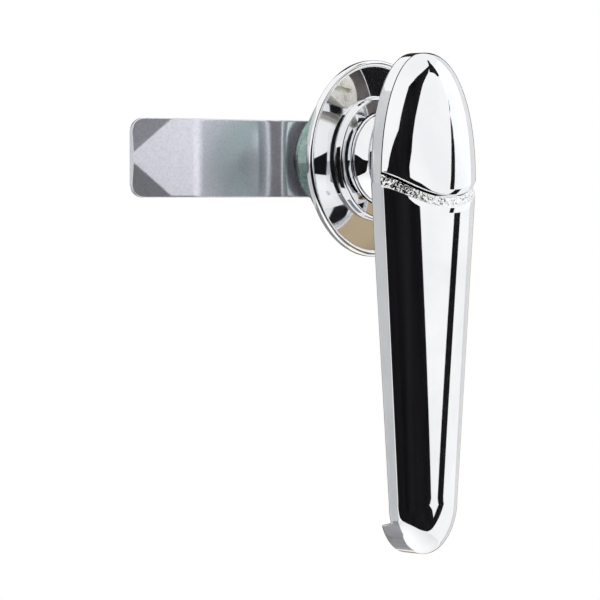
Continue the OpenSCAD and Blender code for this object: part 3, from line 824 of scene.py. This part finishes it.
def cam():
    tip_rise = (CAM_REACH - CAM_TIP_BEND) * math.tan(math.radians(CAM_TIP_ANGLE))
    arm = CAM_FRONT + CAM_OFFSET
    corners = [(CAM_HEEL, CAM_FRONT), (-CAM_BEND, CAM_FRONT), (-CAM_BEND - CAM_BEND_L, arm)]
    corners += [(-CAM_TIP_BEND, arm), (-CAM_REACH, arm + tip_rise)]
    front = resample(smooth_path(corners, CAM_RADII), CAM_STEP)
    rows = []
    for i, p in enumerate(front):
        along = (front[min(i + 1, len(front) - 1)] - front[max(i - 1, 0)]).normalized()
        behind = Vector((along.y, -along.x))
        row = []
        for up, depth in cam_section(p.x + CAM_REACH, CAM_HEEL - p.x):
            q = p + behind * depth
            row.append(at(q.x, up, -q.y))
        rows.append(row)
    surface = Surface()
    surface.grid(rows, loop=True)
    surface.face(rows[0])
    surface.face(rows[-1])
    obj = surface.piece("cam_strip", [zinc], CAM_SHARP_ANGLE)
    attach(obj, "handle", "cam")


lever()
neck()
cover()
rose()
cam()


# Studio: a white surround, a pale floor and a backdrop ring that the chrome mirrors. Sizes in mm.
WORLD_LIGHT = 0.75
WORLD_SHOWN = 1.0
FLOOR_R = 1100.0
FLOOR_DROP = 800.0
FLOOR_CORNERS = 96
BACKDROP_R = 420.0
BACKDROP_COLUMNS = 32
BACKDROP_GRAIN = 6.0


def white_surround():
    """A white world, a little brighter where the camera or a mirror sees it."""
    world = bpy.data.worlds.new("studio")
    scene.world = world
    world.use_nodes = True
    tree = world.node_tree
    background = tree.nodes["Background"]
    path = tree.nodes.new("ShaderNodeLightPath")
    shown = path.outputs["Is Camera Ray"]
    for ray in ("Is Glossy Ray", "Is Transmission Ray"):
        either = tree.nodes.new("ShaderNodeMath")
        either.operation = "MAXIMUM"
        tree.links.new(shown, either.inputs[0])
        tree.links.new(path.outputs[ray], either.inputs[1])
        shown = either.outputs[0]
    strength = ramp(tree, shown, WORLD_LIGHT, WORLD_SHOWN, 0.0, 1.0)
    tree.links.new(strength, background.inputs["Strength"])
    background.inputs["Color"].default_value = (1, 1, 1, 1)


def pale_floor():
    ring = []
    for k in range(FLOOR_CORNERS):
        a = math.tau * k / FLOOR_CORNERS
        ring.append(at(FLOOR_R * math.cos(a), -FLOOR_DROP, FLOOR_R * math.sin(a)))
    surface = Surface()
    surface.face(ring)
    material = plain(
        "floor",
        stops=[(0.3, (0.84, 0.84, 0.84)), (0.7, (0.87, 0.87, 0.87))],
        speck=40,
        rough=(0.6, 0.7),
        bump=(200, 0.05, 0.0002),
    )
    obj = surface.piece("floor", [material])


def backdrop(name, stops, edges):
    """A part of the backdrop ring that only mirrors see; edges are (level, left angle, right angle)."""
    rows = []
    for level, left, right in edges:
        row = []
        for k in range(BACKDROP_COLUMNS + 1):
            a = math.radians(left + (right - left) * k / BACKDROP_COLUMNS)
            row.append(at(BACKDROP_R * math.sin(a), level, BACKDROP_R * math.cos(a)))
        rows.append(row)
    surface = Surface()
    surface.grid(rows)
    material, tree, shader, coords = new_material(name)
    tint = colours(tree, noise_node(tree, coords, BACKDROP_GRAIN), stops)
    tree.links.new(tint, shader.inputs["Base Color"])
    shader.inputs["Roughness"].default_value = 0.9
    shader.inputs["Specular IOR Level"].default_value = 0.0
    obj = surface.piece(name, [material])
    obj.visible_camera = False
    obj.visible_shadow = False
    obj.visible_diffuse = False


BLACK = [(0.3, (0.004, 0.004, 0.005)), (0.7, (0.012, 0.011, 0.012))]
PALE = [(0.3, (0.72, 0.73, 0.75)), (0.7, (0.78, 0.79, 0.81))]
GREY = [(0.3, (0.5, 0.51, 0.52)), (0.7, (0.58, 0.58, 0.59))]
SLATE = [(0.3, (0.2, 0.2, 0.21)), (0.7, (0.32, 0.32, 0.34))]
DARK = [(0.4, (0.01, 0.01, 0.012)), (0.52, (0.04, 0.034, 0.033)), (0.64, (0.16, 0.15, 0.14))]
BROWN = [(0.4, (0.03, 0.022, 0.018)), (0.5, (0.16, 0.11, 0.06)), (0.62, (0.36, 0.29, 0.19))]

white_surround()
pale_floor()

# The broad dark band along the lever and up the cover.
backdrop(
    "flag_front",
    BLACK,
    [
        (-372, -44, 0),
        (-362, -62, 12),
        (-340, -84, 26),
        (-300, -98, 34),
        (-250, -103, 36),
        (-161, -106, 28),
        (-42, -110, 2),
        (-30, -98, -6),
        (-5, -90, -14),
        (23, -85, -16),
        (54, -78, -12),
        (94, -66, -10),
        (140, -48, -6),
        (207, -43, 2),
        (288, -36, 12),
        (354, -31, 30),
        (404, -28, 39),
        (430, -12, 42),
        (453, 0, 44),
    ],
)

# The narrow dark lines on the grip and at the cover's top, and the pale band beside them.
backdrop(
    "flag_strip",
    BLACK,
    [(-300, 28, 34), (-230, 30, 41), (-161, 36, 48), (-42, 51, 61), (-31, 52, 62)],
)
backdrop(
    "flag_top",
    BLACK,
    [(250, 46, 50), (300, 42, 51), (350, 34, 51), (400, 38, 52), (450, 43, 53), (590, 56, 64)],
)
backdrop(
    "flag_pale",
    PALE,
    [(-27, 54, 84), (20, 53, 84), (60, 51, 84), (115, 49, 84), (250, 50, 84), (350, 51, 84)],
)

# The grey of the lever's two sides, and the dark line on the cover's lower half.
backdrop(
    "flag_left",
    GREY,
    [(-330, -175, -112), (-50, -175, -112), (-40, -175, -128), (330, -175, -128)],
)
backdrop("flag_right", GREY, [(-330, 84, 110), (330, 84, 110)])
backdrop("flag_ridge", BLACK, [(-30, 44, 50), (23, 46, 51.5), (94, 49.5, 52.2), (140, 52, 52.4)])

# Behind the handle, seen in the rose and along its rim.
backdrop("flag_back_low", BROWN, [(-330, 111, 185), (18, 111, 185)])
backdrop("flag_back_high", DARK, [(18, 111, 185), (330, 111, 185)])
backdrop("flag_under", SLATE, [(-665, 143, 233), (-315, 143, 233)])

LAMP_AIM = Vector((0, 0, -0.03))


def lamp(name, place, size, power):
    """A soft square lamp; place and size in metres, power in watts."""
    data = bpy.data.lights.new(name, "AREA")
    data.size = size
    data.energy = power
    obj = bpy.data.objects.new(name, data)
    obj.location = place
    obj.rotation_mode = "QUATERNION"
    obj.rotation_quaternion = (LAMP_AIM - Vector(place)).to_track_quat("-Z", "Y")
    obj.visible_camera = False
    obj.visible_glossy = False
    scene.collection.objects.link(obj)


lamp("key", place=(-0.5, -0.7, 0.8), size=0.5, power=8)
lamp("fill", place=(0.8, 0.2, 0.6), size=0.6, power=4)
lamp("back", place=(-0.5, 0.45, 0.35), size=0.4, power=6)

# Camera, fitted to the rose and the lever's outline; distance and centre in mm, focal length in pixels.
VIEW_ANGLE = math.radians(47.0)
VIEW_ELEVATION = math.radians(2.0)
VIEW_DISTANCE = 750.0
FOCAL_PX = 3061.2
PICTURE_PX = 600
SENSOR = 36.0
CENTRE_U = -17.69
CENTRE_V = -34.62


def camera():
    data = bpy.data.cameras.new("camera")
    data.sensor_width = SENSOR
    data.lens = FOCAL_PX * SENSOR / PICTURE_PX
    data.clip_start = 0.01
    data.clip_end = 20
    obj = bpy.data.objects.new("camera", data)
    scene.collection.objects.link(obj)
    ca, sa = math.cos(VIEW_ANGLE), math.sin(VIEW_ANGLE)
    ce, se = math.cos(VIEW_ELEVATION), math.sin(VIEW_ELEVATION)
    right = Vector((ca, -sa, 0))
    toward = Vector((-sa * ce, -ca * ce, se))
    up = Vector((sa * se, ca * se, ce))
    obj.location = (right * CENTRE_U + up * CENTRE_V + toward * VIEW_DISTANCE) * MM
    turn = Matrix((right, up, toward)).transposed()
    obj.rotation_mode = "QUATERNION"
    obj.rotation_quaternion = turn.to_quaternion()
    scene.camera = obj


camera()
